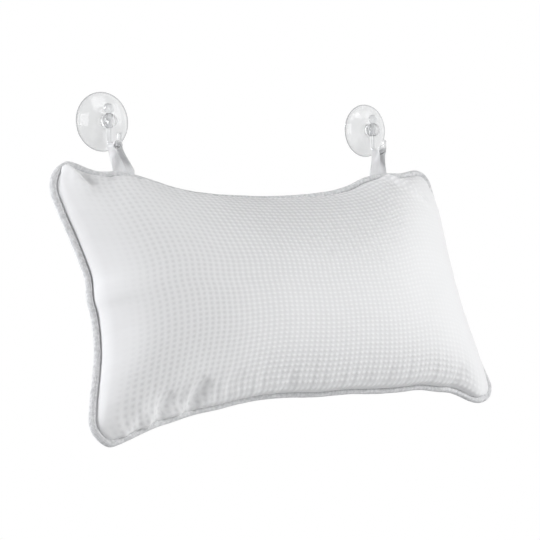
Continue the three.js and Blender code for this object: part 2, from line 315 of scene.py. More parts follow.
# A closed smooth line through points, by centripetal Catmull-Rom spans, evenly spaced.
def smoothLoop(points, count):
    points = np.asarray(points, float)
    dense = []
    total = len(points)
    for i in range(total):
        p0, p1, p2, p3 = (points[(i + k - 1) % total] for k in range(4))
        t0 = 0.0
        t1 = t0 + np.linalg.norm(p1 - p0) ** 0.5
        t2 = t1 + np.linalg.norm(p2 - p1) ** 0.5
        t3 = t2 + np.linalg.norm(p3 - p2) ** 0.5
        t = np.linspace(t1, t2, 24, endpoint=False)[:, None]
        a1 = (t1 - t) / (t1 - t0) * p0 + (t - t0) / (t1 - t0) * p1
        a2 = (t2 - t) / (t2 - t1) * p1 + (t - t1) / (t2 - t1) * p2
        a3 = (t3 - t) / (t3 - t2) * p2 + (t - t2) / (t3 - t2) * p3
        b1 = (t2 - t) / (t2 - t0) * a1 + (t - t0) / (t2 - t0) * a2
        b2 = (t3 - t) / (t3 - t1) * a2 + (t - t1) / (t3 - t1) * a3
        dense.append((t2 - t) / (t2 - t1) * b1 + (t - t1) / (t2 - t1) * b2)
    return evenly(np.concatenate(dense), count)


def evenly(line, count):
    closed = np.vstack([line, line[:1]])
    run = np.concatenate([[0], np.cumsum(np.linalg.norm(np.diff(closed, axis=0), axis=1))])
    at = np.linspace(0, run[-1], count, endpoint=False)
    return np.stack([np.interp(at, run, closed[:, k]) for k in range(closed.shape[1])], 1)


def outwardOf(line):
    along = np.roll(line, -1, 0) - np.roll(line, 1, 0)
    along /= np.linalg.norm(along, axis=1)[:, None]
    return np.stack([-along[:, 1], along[:, 0]], 1)


seamLine = smoothLoop(np.array(seamPoints) * mm, 960)
seamOut = outwardOf(seamLine)

# Corners that curl backwards, in millimetres: place, reach and how far.
curledCorners = [((187, -94), 24, 3.4), ((181, 97), 20, 2.4)]


def cornerCurl(flat):
    back = np.zeros(flat.shape[:-1])
    for corner, reach, distance in curledCorners:
        gap = np.linalg.norm(flat - np.array(corner) * mm, axis=-1) / (reach * mm)
        back += distance * mm * np.exp(-gap ** 2)
    return back


def insetSeam(inset):
    return seamLine - seamOut * inset


# ---- cloth of the two faces, on a grid with one cell for each cell of the weave


# The four sides of the seam between its corners, then a grid stretched between them.
def stretchGrid(across, up):
    line = insetSeam(pillow["seamInset"])
    corners = [int(np.argmax(line @ np.array(way))) for way in ((-1, 1.5), (1, 1.5), (1, -1.5), (-1, -1.5))]

    def side(first, last, count):
        span = np.arange(first, last + (len(line) if last < first else 0) + 1) % len(line)
        part = line[span]
        run = np.concatenate([[0], np.cumsum(np.linalg.norm(np.diff(part, axis=0), axis=1))])
        at = np.linspace(0, run[-1], count + 1)
        return np.stack([np.interp(at, run, part[:, k]) for k in range(2)], 1)

    top = side(corners[0], corners[1], across)
    right = side(corners[1], corners[2], up)[::-1]
    bottom = side(corners[2], corners[3], across)[::-1]
    left = side(corners[3], corners[0], up)
    s = np.linspace(0, 1, across + 1)[:, None, None]
    t = np.linspace(0, 1, up + 1)[None, :, None]
    between = (1 - t) * bottom[:, None] + t * top[:, None] + (1 - s) * left[None] + s * right[None]
    twice = (1 - s) * (1 - t) * bottom[0] + s * (1 - t) * bottom[-1] + (1 - s) * t * top[0] + s * t * top[-1]
    return between - twice


def startFace(flat, crown, side):
    across, up = flat.shape[0] - 1, flat.shape[1] - 1
    s = np.abs(np.linspace(-1, 1, across + 1))[:, None]
    t = np.abs(np.linspace(-1, 1, up + 1))[None, :]
    rise = ((1 - s ** 3.2) * (1 - t ** 2.4)) ** 0.6
    edge = pillow["edgeRise"]
    w = side * (edge + (crown - edge) * rise)
    return np.stack([flat[..., 0], w, flat[..., 1]], 2)


def gridFaces(across, up, start=0):
    i, j = np.meshgrid(np.arange(across), np.arange(up), indexing="ij")
    a = (start + i * (up + 1) + j).ravel()
    return np.stack([a, a + up + 1, a + up + 2, a + 1], 1)


fill = {
    "pressure": 4.0,
    "mass": 0.2,
    "airDamping": 3,
    "frames": 26,
    "quality": 8,
    "stiffness": 22.0,
    "bending": 0.9,
    "moveLimit": 18 * mm,
}


# Blows the two faces up as one closed case. Their rest shape is the flat cut, so that the cloth
# keeps its real size, and the edge stays on the seam.
def inflate(front, back, setup):
    across, up = front.shape[0] - 1, front.shape[1] - 1
    count = (across + 1) * (up + 1)
    index = np.arange(count).reshape(across + 1, up + 1)
    edge = np.zeros((across + 1, up + 1), bool)
    edge[0] = edge[-1] = True
    edge[:, 0] = edge[:, -1] = True
    backIndex = np.where(edge, index, 0)
    backIndex[~edge] = count + np.arange((~edge).sum())
    points = np.vstack([front.reshape(-1, 3), back[~edge]])
    points[index[edge], 1] = 0
    quads = gridFaces(across, up)
    backQuads = backIndex.ravel()[quads][:, ::-1]
    mesh = meshOf("case", points, np.vstack([quads, backQuads]).tolist())
    case = addObject("case", mesh)
    width, height = pillow["cut"]
    cut = np.zeros_like(front)
    cut[..., 0] = np.linspace(-width / 2, width / 2, across + 1)[:, None]
    cut[..., 2] = np.linspace(-height / 2, height / 2, up + 1)[None, :]
    case.shape_key_add(name="sewn")
    flatKey = case.shape_key_add(name="cut")
    flatKey.data.foreach_set("co", np.vstack([cut.reshape(-1, 3), cut[~edge]]).ravel())
    flatKey.value = 0
    pins = case.vertex_groups.new(name="seam")
    pins.add([int(k) for k in index[edge]], 1.0, "REPLACE")
    cloth = case.modifiers.new("fill", "CLOTH")
    settings = cloth.settings
    settings.rest_shape_key = flatKey
    settings.vertex_group_mass = "seam"
    settings.quality = setup["quality"]
    settings.mass = setup["mass"]
    settings.tension_stiffness = setup["stiffness"]
    settings.compression_stiffness = setup["stiffness"]
    settings.shear_stiffness = setup["stiffness"] / 3
    settings.bending_stiffness = setup["bending"]
    settings.air_damping = setup["airDamping"]
    settings.use_pressure = True
    settings.uniform_pressure_force = setup["pressure"]
    settings.effector_weights.gravity = 0
    cloth.collision_settings.use_collision = False
    scene = bpy.context.scene
    scene.frame_start = 1
    cloth.point_cache.frame_start = 1
    cloth.point_cache.frame_end = setup["frames"]
    for number in range(1, setup["frames"] + 1):
        scene.frame_set(number)
    evaluated = case.evaluated_get(bpy.context.evaluated_depsgraph_get())
    moved = coordinates(evaluated.data)
    scene.frame_set(1)
    bpy.data.objects.remove(case)
    step = moved - points
    length = np.linalg.norm(step, axis=1)
    step *= np.minimum(1, setup["moveLimit"] / np.maximum(length, 1e-9))[:, None]
    moved = points + step
    newFront = moved[:count].reshape(front.shape)
    newBack = moved[backIndex.ravel()].reshape(back.shape)
    return newFront, newBack


def settleEdges(face, start):
    face = face.copy()
    for part in (np.s_[0], np.s_[-1], np.s_[:, 0], np.s_[:, -1]):
        face[part] = start[part]
    return face


def limitCrown(face, crown):
    face = face.copy()
    face[..., 1] *= crown / np.abs(face[..., 1]).max()
    return face


across, up = pillow["cells"]
flatGrid = stretchGrid(across, up)
frontFace = startFace(flatGrid, pillow["frontCrown"], -1)
backFace = startFace(flatGrid, pillow["backCrown"], 1)
blownFront, blownBack = inflate(frontFace, backFace, fill)
frontFace = limitCrown(settleEdges(blownFront, frontFace), pillow["frontCrown"])
backFace = limitCrown(settleEdges(blownBack, backFace), pillow["backCrown"])
print("case filled")


# A grid of points with this many cells in each cell, through the same points.
def refine(grid, times):
    for axis in (0, 1):
        grid = np.moveaxis(grid, axis, 0)
        first, last = 2 * grid[:1] - grid[1:2], 2 * grid[-1:] - grid[-2:-1]
        padded = np.concatenate([first, grid, last])
        p0, p1, p2, p3 = padded[:-3], padded[1:-2], padded[2:-1], padded[3:]
        rows = []
        for k in range(times):
            t = k / times
            rows.append(0.5 * (2 * p1 + (p2 - p0) * t + (2 * p0 - 5 * p1 + 4 * p2 - p3) * t ** 2
                               + (3 * p1 - p0 - 3 * p2 + p3) * t ** 3))
        fine = np.stack(rows, 1).reshape((-1,) + grid.shape[1:])
        grid = np.moveaxis(np.concatenate([fine, grid[-1:]]), 0, axis)
    return grid


def gridNormals(grid, side):
    du = np.gradient(grid, axis=0)
    dv = np.gradient(grid, axis=1)
    normal = np.cross(du, dv)
    normal /= np.maximum(np.linalg.norm(normal, axis=2), 1e-12)[..., None]
    sign = np.sign(normal[grid.shape[0] // 2, grid.shape[1] // 2, 1])
    return normal * sign * side


# Folds of the front in millimetres: points from the seam inwards, half the width, the height of the
# fold, the share by which the cloth there stands lower or higher, and how narrow the fold's right
# side is against its left.
folds = [
    ([(-176.5, 106), (-174.6, 102.5), (-172.6, 98.8), (-170.4, 94.6), (-168.2, 90), (-165.6, 83), (-163, 76)],
     5.0, 4.4, 0.15, 0.4),
    ([(-169.6, 106), (-168.2, 102), (-166.4, 97.5), (-164, 91), (-161, 83)], 3.0, -3.0, -0.6, 1),
    ([(-182.5, 96), (-180, 84), (-177, 70)], 5.5, -1.0, 0, 1),
    ([(-138.6, 98.5), (-141.9, 92.8), (-145.7, 87.5)], 2.2, -2.2, -0.7, 1),
    ([(-118, 95), (-119, 90)], 1.8, -0.8, -0.3, 1),
    ([(-140, -84), (-118, -80), (-92, -78)], 8.0, -1.4, -0.3, 1),
    ([(121.5, 97.5), (126, 93.5), (130.5, 85.5), (139, 76.8), (150, 69), (158, 62)], 4.0, 4.2, 0.1, 0.6),
    ([(131, 100), (136, 94), (141, 87), (148.5, 79), (158, 70)], 4.4, -3.2, -0.4, 1),
    ([(-151.4, -96), (-148.9, -88.9), (-146.2, -82.2), (-143.5, -77)], 3.0, 2.3, 0.04, 1),
    ([(-142.5, -95), (-139.7, -88), (-136.8, -81), (-133.5, -74)], 5.2, -2.8, -0.62, 1),
    ([(-124.8, -90), (-122.2, -83.3), (-119.4, -76.5), (-116.5, -71)], 3.0, 2.2, 0.04, 1),
    ([(-115.1, -89), (-112.3, -81.8), (-109, -74.5), (-105, -68)], 5.6, -2.8, -0.6, 1),
    ([(-170.6, -100.5), (-167.3, -94.2), (-164, -89)], 2.8, 1.3, 0.04, 1),
    ([(-161, -98.8), (-158.3, -92.7), (-155, -87)], 3.8, -1.0, -0.3, 1),
    ([(-90, -86), (-84, -76), (-74, -66)], 7.0, -0.8, -0.14, 1),
    ([(-38.2, -82), (-36.6, -76.2), (-35, -70)], 3.0, 1.1, 0, 1),
    ([(-32.3, -81.5), (-30.6, -75.2), (-28.6, -68)], 3.6, -1.0, -0.12, 1),
    ([(64, -86), (66, -78), (69, -70)], 4.0, -0.9, -0.1, 1),
    ([(140, -93), (145, -86), (151, -76)], 5.0, -1.8, -0.3, 1),
    ([(171, -102), (172, -92), (170, -80)], 4.6, 1.6, 0, 1),
    ([(-170, 40), (-158, 36), (-146, 34)], 4.5, -0.6, 0, 1),
    ([(-168, -8), (-156, -8), (-146, -10)], 5.0, -0.5, 0, 1),
]

# Soft unevenness of the filling, in millimetres.
lumps = {
    "count": 46,
    "area": ((-175, -85), (175, 85)),
    "reach": (14, 32),
    "height": 0.8,
}


# Distance to a broken line, the share of its length there, and on which of its sides a place is.
def lineDistance(places, line):
    nearest = np.full(places.shape[:-1], 1e9)
    along = np.zeros(places.shape[:-1])
    turn = np.zeros(places.shape[:-1])
    line = np.asarray(line, float)
    lengths = np.linalg.norm(np.diff(line, axis=0), axis=1)
    total = lengths.sum()
    run = 0
    for a, b, length in zip(line[:-1], line[1:], lengths):
        ahead, aside = b - a, places - a
        t = np.clip((aside @ ahead) / length ** 2, 0, 1)
        gap = np.linalg.norm(places - (a + t[..., None] * ahead), axis=-1)
        closer = gap < nearest
        nearest = np.where(closer, gap, nearest)
        along = np.where(closer, (run + t * length) / total, along)
        turn = np.where(closer, np.sign(ahead[0] * aside[..., 1] - ahead[1] * aside[..., 0]), turn)
        run += length
    return nearest, along, turn


# The filling pushes the cloth out past the seam, so that it hangs a little over the piping.
def bulgeEdges(face):
    flat = face[..., [0, 2]]
    spots, ways = seamLine[::8], seamOut[::8]
    bottom = np.clip(-ways[:, 1], 0, 1) ** 2 * (1 - pillow["bottomTilt"] * spots[:, 0])
    strength = pillow["bulge"] + pillow["bottomBulge"] * bottom
    strength += pillow["rightBulge"] * np.clip(ways[:, 0], 0, 1) ** 2
    strength *= 1 - pillow["topLess"] * np.clip(ways[:, 1], 0, 1) ** 2
    gaps = np.linalg.norm(flat[:, :, None, :] - spots, axis=-1)
    weight = np.exp(-(gaps - gaps.min(axis=-1, keepdims=True)) / pillow["bulgeBlend"])
    way = (weight[..., None] * (ways * strength[:, None])).sum(2) / weight.sum(2)[..., None]
    height = np.abs(face[..., 1]) / pillow["bulgeHeight"]
    share = height ** 1.5 * np.exp(1.5 * (1 - height))
    pushed = face.copy()
    pushed[..., [0, 2]] += way * share[..., None]
    return pushed


def foldCloth(face, side, seed, marks):
    normal = gridNormals(face, side)
    places = face[..., [0, 2]] / mm
    push = np.zeros(face.shape[:2])
    lift = np.ones(face.shape[:2])
    for line, width, height, lower, lip in marks:
        gap, along, turn = lineDistance(places, line)
        across = np.exp(-(gap / (width * np.where(turn > 0, lip, 1))) ** 2)
        push += height * np.clip(1 - along, 0, 1) ** 0.8 * np.clip(0.45 + along * 2.4, 0, 1) * across
        lift *= 1 + lower * np.clip(1 - along, 0, 1) ** 0.9 * across
    push *= edgeFade(face.shape[:2], 0.014)
    soft = np.zeros(face.shape[:2])
    dice = np.random.default_rng(seed)
    for _ in range(lumps["count"]):
        spot = dice.uniform(*lumps["area"])
        reach = dice.uniform(*lumps["reach"])
        gap = np.linalg.norm(places - spot, axis=-1) / reach
        soft += dice.uniform(-lumps["height"], lumps["height"]) * np.exp(-gap ** 2)
    push += soft * edgeFade(face.shape[:2], 0.08)
    folded = face + normal * push[..., None] * mm
    least = pillow["edgeRise"]
    folded[..., 1] = side * (least + (np.abs(folded[..., 1]) - least) * lift)
    return folded


def softStep(x):
    return x * x * (3 - 2 * x)


# From 0 at the edge of a panel to 1 inside it.
def edgeFade(shape, width):
    s = np.linspace(0, 1, shape[0])[:, None]
    t = np.linspace(0, 1, shape[1])[None, :]
    inside = np.minimum(np.minimum(s, 1 - s) * 1.85, np.minimum(t, 1 - t))
    return softStep(np.clip(inside / width, 0, 1))


# Small gathers where the cloth is drawn into the seam.
gathers = {
    "lengths": (9.5 * mm, 14 * mm, 23 * mm),
    "height": 0.22 * mm,
    "depth": 7 * mm,          # how far inside the seam they are highest
    "endShare": 0.3,          # how high they are at the left and right ends
}


def gatherEdges(face, side, seed):
    shape = face.shape[:2]
    dice = np.random.default_rng(seed)
    s = np.linspace(0, 1, shape[0])[:, None] * pillow["cut"][0]
    t = np.linspace(0, 1, shape[1])[None, :] * pillow["cut"][1]
    wave = np.zeros(shape)
    edges = ((s, np.minimum(t, pillow["cut"][1] - t), 1),
             (t, np.minimum(s, pillow["cut"][0] - s), gathers["endShare"]))
    for along, inside, share in edges:
        rows = 0
        for length in gathers["lengths"]:
            rows = rows + dice.uniform(0.5, 1) * np.sin(2 * np.pi * along / length + dice.uniform(0, 6.3))
        near = inside / gathers["depth"]
        wave = wave + share * rows * near * np.exp(1 - near)
    normal = gridNormals(face, side)
    return face + normal * (gathers["height"] * wave * edgeFade(shape, 0.02))[..., None]


# ---- materials


def newMaterial(name, **sockets):
    made = bpy.data.materials.new(name)
    made.use_nodes = True
    tree = made.node_tree
    shader = tree.nodes["Principled BSDF"]
    for key, value in sockets.items():
        shader.inputs[key].default_value = value
    return made, tree, shader


def ramp(tree, value, low, high, fromMin=0.0, fromMax=1.0):
    share = addNode(tree, "ShaderNodeMapRange", {"Value": value, "From Min": fromMin, "From Max": fromMax})
    mixed = addNode(tree, "ShaderNodeMixRGB", {0: share.outputs[0], 1: (*low, 1), 2: (*high, 1)})
    return mixed.outputs[0]


def addBump(tree, shader, strength, distance, height):
    bump = addNode(tree, "ShaderNodeBump", {"Strength": strength, "Distance": distance, "Height": height})
    tree.links.new(bump.outputs[0], shader.inputs["Normal"])


waffle = {
    "depth": 0.55 * mm,
    "warpPower": 1.2,         # the higher, the narrower a crossing stands out across the pillow
    "weftPower": 2.1,         # and up it
    "knotHeight": 0.7,
    "ribHeight": 0.15,
    "knotMean": 0.26,
    "ribRuns": 0.88,          # how far the upright ribs run through where the cloth is drawn
    "pitDepth": 0.54,
    "pitMean": 0.15,
    "threads": 9,             # threads across one cell
    # painted shade and light: the pits are coloured darker for the shade in the weave's hollows, and the
    # crossings lighter for the light they catch
    "pit": (0.72, 0.722, 0.728),
    "rib": (0.95, 0.952, 0.956),
    "tone": 0.4,              # where a flat place lies between the two
    "toneRange": (-0.3, 1.0),
    "mostTone": 1.9,          # the slackest weave gets this much contrast of painted pit shade and knot light
    # painted light: the weave is coloured lighter where the slack passes 1, across the upper front
    "paintedTopLight": 0.12,
    "mottle": 0.12,
    "yarn": 0.05,
}


# Height of the waffle weave about its own mean. Where the cloth is drawn sideways the upright ribs
# run through and only the pits stand out; elsewhere the crossings of the ribs do.
def waffleHeight(tree, u, v, drawn):
    ribs = []
    for place in (u, v):
        turn = mathNode(tree, "COSINE", mathNode(tree, "MULTIPLY", place, 2 * math.pi))
        ribs.append(mathNode(tree, "MULTIPLY_ADD", turn, 0.5, 0.5))
    warp, weft = ribs
    knot = mathNode(tree, "MULTIPLY", mathNode(tree, "POWER", warp, waffle["warpPower"]),
                    mathNode(tree, "POWER", weft, waffle["weftPower"]))
    both = mathNode(tree, "ADD", warp, weft)
    low = mathNode(tree, "MULTIPLY_ADD", both, waffle["ribHeight"], -waffle["knotMean"])
    knots = mathNode(tree, "MULTIPLY_ADD", knot, waffle["knotHeight"], low)
    between = mathNode(tree, "MULTIPLY_ADD", weft, -waffle["ribRuns"], 1.0)
    pit = mathNode(tree, "MULTIPLY", mathNode(tree, "SUBTRACT", 1.0, warp), between)
    pits = mathNode(tree, "MULTIPLY_ADD", pit, -waffle["pitDepth"], waffle["pitMean"])
    return mathNode(tree, "MULTIPLY_ADD", mathNode(tree, "SUBTRACT", pits, knots), drawn, knots)


def waffleCloth(setup):
    made, tree, shader = newMaterial(
        "waffle_cloth", Roughness=0.92, **{"Sheen Weight": 0.12, "Sheen Roughness": 0.6})
    weave = addNode(tree, "ShaderNodeUVMap", uv_map="weave").outputs[0]
    cells = addNode(tree, "ShaderNodeVectorMath", {0: weave, 1: (*pillow["cells"], 1)}, operation="MULTIPLY")
    parts = addNode(tree, "ShaderNodeSeparateXYZ", {0: cells.outputs[0]})
    drawn = addNode(tree, "ShaderNodeAttribute", attribute_name="drawn").outputs["Fac"]
    height = waffleHeight(tree, parts.outputs[0], parts.outputs[1], drawn)
    threads = []
    for place in (parts.outputs[0], parts.outputs[1]):
        turn = mathNode(tree, "SINE", mathNode(tree, "MULTIPLY", place, 2 * math.pi * setup["threads"]))
        threads.append(turn)
    yarn = mathNode(tree, "MULTIPLY", threads[0], threads[1])
    mottle = addNode(tree, "ShaderNodeTexNoise", {
        "Vector": addNode(tree, "ShaderNodeTexCoord").outputs["Object"], "Scale": 26.0, "Detail": 3.0})
    slack = addNode(tree, "ShaderNodeAttribute", attribute_name="slack").outputs["Fac"]
    # painted light: the colour is lifted where the slack passes 1, across the upper front
    paintedLightShare = mathNode(tree, "MAXIMUM", mathNode(tree, "SUBTRACT", slack, 1.0), 0.0)
    tone = mathNode(tree, "MULTIPLY_ADD", paintedLightShare, setup["paintedTopLight"], setup["tone"])
    # painted shade: the contrast between the darker pit colour and the lighter knot colour grows with the slack
    contrast = mathNode(tree, "MINIMUM", slack, setup["mostTone"])
    tone = mathNode(tree, "MULTIPLY_ADD", height, contrast, tone)
    uneven = mathNode(tree, "SUBTRACT", mottle.outputs[0], 0.5)
    tone = mathNode(tree, "MULTIPLY_ADD", uneven, setup["mottle"], tone)
    tone = mathNode(tree, "MULTIPLY_ADD", yarn, setup["yarn"], tone)
    # the ramp runs from the painted pit shade to the painted knot light
    colour = ramp(tree, tone, setup["pit"], setup["rib"], *setup["toneRange"])
    tree.links.new(colour, shader.inputs["Base Color"])
    relief = mathNode(tree, "MULTIPLY", mathNode(tree, "MULTIPLY_ADD", yarn, 0.12, height), slack)
    addBump(tree, shader, 0.7, 0.5 * mm, relief)
    return made


pipingLook = {
    "shade": (0.54, 0.545, 0.555),
    "light": (0.82, 0.823, 0.83),
    "ribsPerMetre": 1050,
    "slant": 16.0,            # ribs round the piping
    "ribShare": 0.2,
    "mottleScale": 420.0,
}


def pipingCloth(setup):
    made, tree, shader = newMaterial(
        "piping_cloth", Roughness=0.88, **{"Sheen Weight": 0.1, "Sheen Roughness": 0.6})
    along = addNode(tree, "ShaderNodeAttribute", attribute_name="along").outputs["Fac"]
    around = addNode(tree, "ShaderNodeAttribute", attribute_name="around").outputs["Fac"]
    run = mathNode(tree, "MULTIPLY", along, setup["ribsPerMetre"])
    waves = []
    for slant in (setup["slant"], -setup["slant"]):
        turn = mathNode(tree, "MULTIPLY_ADD", around, slant, run)
        waves.append(mathNode(tree, "SINE", mathNode(tree, "MULTIPLY", turn, math.pi)))
    rib = mathNode(tree, "MULTIPLY", waves[0], waves[1])
    place = addNode(tree, "ShaderNodeTexCoord").outputs["Object"]
    mottle = addNode(tree, "ShaderNodeTexNoise", {
        "Vector": place, "Scale": setup["mottleScale"], "Detail": 3.0})
    tone = mathNode(tree, "MULTIPLY_ADD", rib, setup["ribShare"], mottle.outputs[0])
    tree.links.new(ramp(tree, tone, setup["shade"], setup["light"], 0.25, 0.75), shader.inputs["Base Color"])
    addBump(tree, shader, 0.8, 0.4 * mm, tone)
    return made


yarns = {
    "sewing_thread": {
        "shade": (0.70, 0.71, 0.73), "light": (0.84, 0.845, 0.855), "scale": 900.0, "roughness": 0.7},
    "wadding": {
        "shade": (0.80, 0.80, 0.79), "light": (0.95, 0.95, 0.94), "scale": 60.0, "roughness": 0.95},
    "cotton_cord": {
        "shade": (0.72, 0.70, 0.66), "light": (0.88, 0.86, 0.82), "scale": 500.0, "roughness": 0.95},
}


def plainYarn(name, shade, light, scale, roughness):
    made, tree, shader = newMaterial(name, Roughness=roughness)
    place = addNode(tree, "ShaderNodeTexCoord").outputs["Object"]
    fibre = addNode(tree, "ShaderNodeTexNoise", {"Vector": place, "Scale": scale, "Detail": 4.0})
    tree.links.new(ramp(tree, fibre.outputs[0], shade, light, 0.3, 0.7), shader.inputs["Base Color"])
    addBump(tree, shader, 0.5, 0.4 * mm, fibre.outputs[0])
    return made


satin = {
    "shade": (0.62, 0.625, 0.64),
    "light": (0.81, 0.815, 0.825),
    "through": 2.5 * mm,          # how far light spreads inside the ribbon
    "streaks": (2.0, 46.0, 1),    # streaks along and across it
    "threads": 150,
    "hem": (0.44, 0.47),          # where the woven edge starts, as a share of the width
    "hemShade": 0.2,
}


def satinRibbon(setup):
    made, tree, shader = newMaterial("satin_ribbon", Roughness=0.42, **{
        "Anisotropic": 0.5, "Specular IOR Level": 0.3, "Subsurface Weight": 1.0,
        "Subsurface Radius": (1, 1, 1), "Subsurface Scale": setup["through"]})
    weave = addNode(tree, "ShaderNodeUVMap", uv_map="weave").outputs[0]
    parts = addNode(tree, "ShaderNodeSeparateXYZ", {0: weave})
    spread = addNode(tree, "ShaderNodeVectorMath", {0: weave, 1: setup["streaks"]}, operation="MULTIPLY")
    lengthwise = addNode(tree, "ShaderNodeTexNoise", {"Vector": spread.outputs[0], "Scale": 1.0, "Detail": 3.0})
    turn = mathNode(tree, "MULTIPLY", parts.outputs[0], 2 * math.pi * setup["threads"])
    cross = mathNode(tree, "SINE", turn)
    edge = mathNode(tree, "ABSOLUTE", mathNode(tree, "SUBTRACT", parts.outputs[1], 0.5))
    hem = addNode(tree, "ShaderNodeMapRange", {
        "Value": edge, "From Min": setup["hem"][0], "From Max": setup["hem"][1]}).outputs[0]
    tone = mathNode(tree, "MULTIPLY_ADD", cross, 0.05, lengthwise.outputs[0])
    tone = mathNode(tree, "SUBTRACT", tone, mathNode(tree, "MULTIPLY", hem, setup["hemShade"]))
    tree.links.new(ramp(tree, tone, setup["shade"], setup["light"], 0.2, 0.75), shader.inputs["Base Color"])
    addBump(tree, shader, 0.35, 0.15 * mm, tone)
    return made


# Clear plastic: the tint is in the depth of the material, so thick places are greyer.
def clearPlastic(name, setup):
    made, tree, shader = newMaterial(
        name, Roughness=setup["roughness"], IOR=setup["ior"], **{"Transmission Weight": setup["clear"]})
    place = addNode(tree, "ShaderNodeTexCoord").outputs["Object"]
    cloud = addNode(tree, "ShaderNodeTexNoise", {"Vector": place, "Scale": 90.0, "Detail": 2.0})
    tint = setup["tint"]
    colour = ramp(tree, cloud.outputs[0], tuple(0.97 * c for c in tint), tint, 0.3, 0.7)
    if "rim" in setup:        # painted shade: a darker line round a cup's edge, where the clear edge looks dark
        parts = addNode(tree, "ShaderNodeSeparateXYZ", {0: place})
        x = mathNode(tree, "SUBTRACT", mathNode(tree, "ABSOLUTE", parts.outputs[0]), hook["across"])
        z = parts.outputs[2]
        apart = mathNode(tree, "ADD", mathNode(tree, "MULTIPLY", x, x), mathNode(tree, "MULTIPLY", z, z))
        first, full = (cup["radius"] - inside for inside in setup["rimInside"])
        reach = addNode(tree, "ShaderNodeMapRange", {
            "Value": mathNode(tree, "SQRT", apart), "From Min": first, "From Max": full})
        colour = addNode(tree, "ShaderNodeMixRGB", {0: reach.outputs[0], 1: colour, 2: setup["rim"]}).outputs[0]
    tree.links.new(colour, shader.inputs["Base Color"])
    addBump(tree, shader, setup["waves"], 0.3 * mm, cloud.outputs[0])
    depth = addNode(tree, "ShaderNodeVolumeAbsorption", {"Color": setup["depth"], "Density": setup["density"]})
    tree.links.new(depth.outputs[0], tree.nodes["Material Output"].inputs["Volume"])
    return made


clothPaint = waffleCloth(waffle)
pipingPaint = pipingCloth(pipingLook)
threadPaint, waddingPaint, cordPaint = (plainYarn(name, **look) for name, look in yarns.items())
satinPaint = satinRibbon(satin)
print("materials made")

# ---- weave relief


# Raises the ribs of the weave along the surface's own directions.
def reliefTree():
    tree, given = newTree("waffle relief", [
        ("Cells across", "Float", 75.0), ("Cells up", "Float", 50.0), ("Depth", "Float", 0.001),
        ("Material", "Material", None)])
    weave = addNode(tree, "GeometryNodeInputNamedAttribute", {"Name": "weave"}, data_type="FLOAT_VECTOR")
    fade = addNode(tree, "GeometryNodeInputNamedAttribute", {"Name": "fade"}, data_type="FLOAT")
    parts = addNode(tree, "ShaderNodeSeparateXYZ", {0: weave.outputs["Attribute"]})
    drawn = addNode(tree, "GeometryNodeInputNamedAttribute", {"Name": "drawn"}, data_type="FLOAT")
    u = mathNode(tree, "MULTIPLY", parts.outputs[0], given["Cells across"])
    v = mathNode(tree, "MULTIPLY", parts.outputs[1], given["Cells up"])
    height = waffleHeight(tree, u, v, drawn.outputs["Attribute"])
    lift = mathNode(tree, "MULTIPLY", height, given["Depth"])
    lift = mathNode(tree, "MULTIPLY", lift, fade.outputs["Attribute"])
    normal = addNode(tree, "GeometryNodeInputNormal")
    step = addNode(tree, "ShaderNodeVectorMath", {0: normal.outputs[0], "Scale": lift}, operation="SCALE")
    moved = addNode(tree, "GeometryNodeSetPosition", {"Geometry": given["Geometry"], "Offset": step.outputs[0]})
    endTree(tree, moved.outputs[0], given["Material"])
    return tree


relief = reliefTree()


# One panel: the relief outside, a plain layer inside, and a rim that joins them.
def makePanel(name, fine, side, paint):
    times = pillow["finer"]
    face = fine[::times, ::times]
    nu, nv = fine.shape[0] - 1, fine.shape[1] - 1
    quads = gridFaces(nu, nv)
    if side > 0:
        quads = quads[:, ::-1]
    s, t = np.meshgrid(np.linspace(0, 1, nu + 1), np.linspace(0, 1, nv + 1), indexing="ij")
    weave = np.stack([s.ravel(), t.ravel()], 1)
    mesh = meshOf(name, toRow(fine), quads.tolist())
    storeWeave(mesh, weave)
    slack, drawn = slackness(fine.shape[:2], side)
    storeValues(mesh, "drawn", drawn)
    storeValues(mesh, "fade", edgeFade(fine.shape[:2], pull["edge"]) * np.minimum(slack, pull["mostRelief"]))
    sheet = bakeTree(addObject(name, mesh), relief, {
        "Cells across": float(across), "Cells up": float(up), "Depth": waffle["depth"], "Material": paint})
    outer = coordinates(sheet.data)
    bpy.data.objects.remove(sheet)
    inner = toRow(face - gridNormals(face, side) * pillow["clothThickness"]).reshape(-1, 3)
    start = len(outer)
    outerIndex = np.arange((nu + 1) * (nv + 1)).reshape(nu + 1, nv + 1)
    innerIndex = start + np.arange((across + 1) * (up + 1)).reshape(across + 1, up + 1)
    faces = quads.tolist() + gridFaces(across, up, start)[:, ::(-1 if side < 0 else 1)].tolist()
    loops = [(outerIndex[:, 0], innerIndex[:, 0]), (outerIndex[-1], innerIndex[-1]),
             (outerIndex[::-1, -1], innerIndex[::-1, -1]), (outerIndex[0, ::-1], innerIndex[0, ::-1])]
    for fineEdge, coarseEdge in loops:
        for k in range(len(coarseEdge) - 1):
            rim = [coarseEdge[k], coarseEdge[k + 1], *fineEdge[k * times:(k + 1) * times + 1][::-1]]
            faces.append([int(x) for x in (rim if side < 0 else rim[::-1])])
    panel = meshOf(name, np.vstack([outer, inner]), faces)
    coarse = np.meshgrid(np.linspace(0, 1, across + 1), np.linspace(0, 1, up + 1), indexing="ij")
    allWeave = np.vstack([weave, np.stack([c.ravel() for c in coarse], 1)])
    storeWeave(panel, allWeave)
    for label, values in (("slack", slack), ("drawn", drawn)):
        storeValues(panel, label, np.concatenate([values.ravel(), np.ones(len(inner))]))
    panel.materials.append(paint)
    return addObject(name, panel)


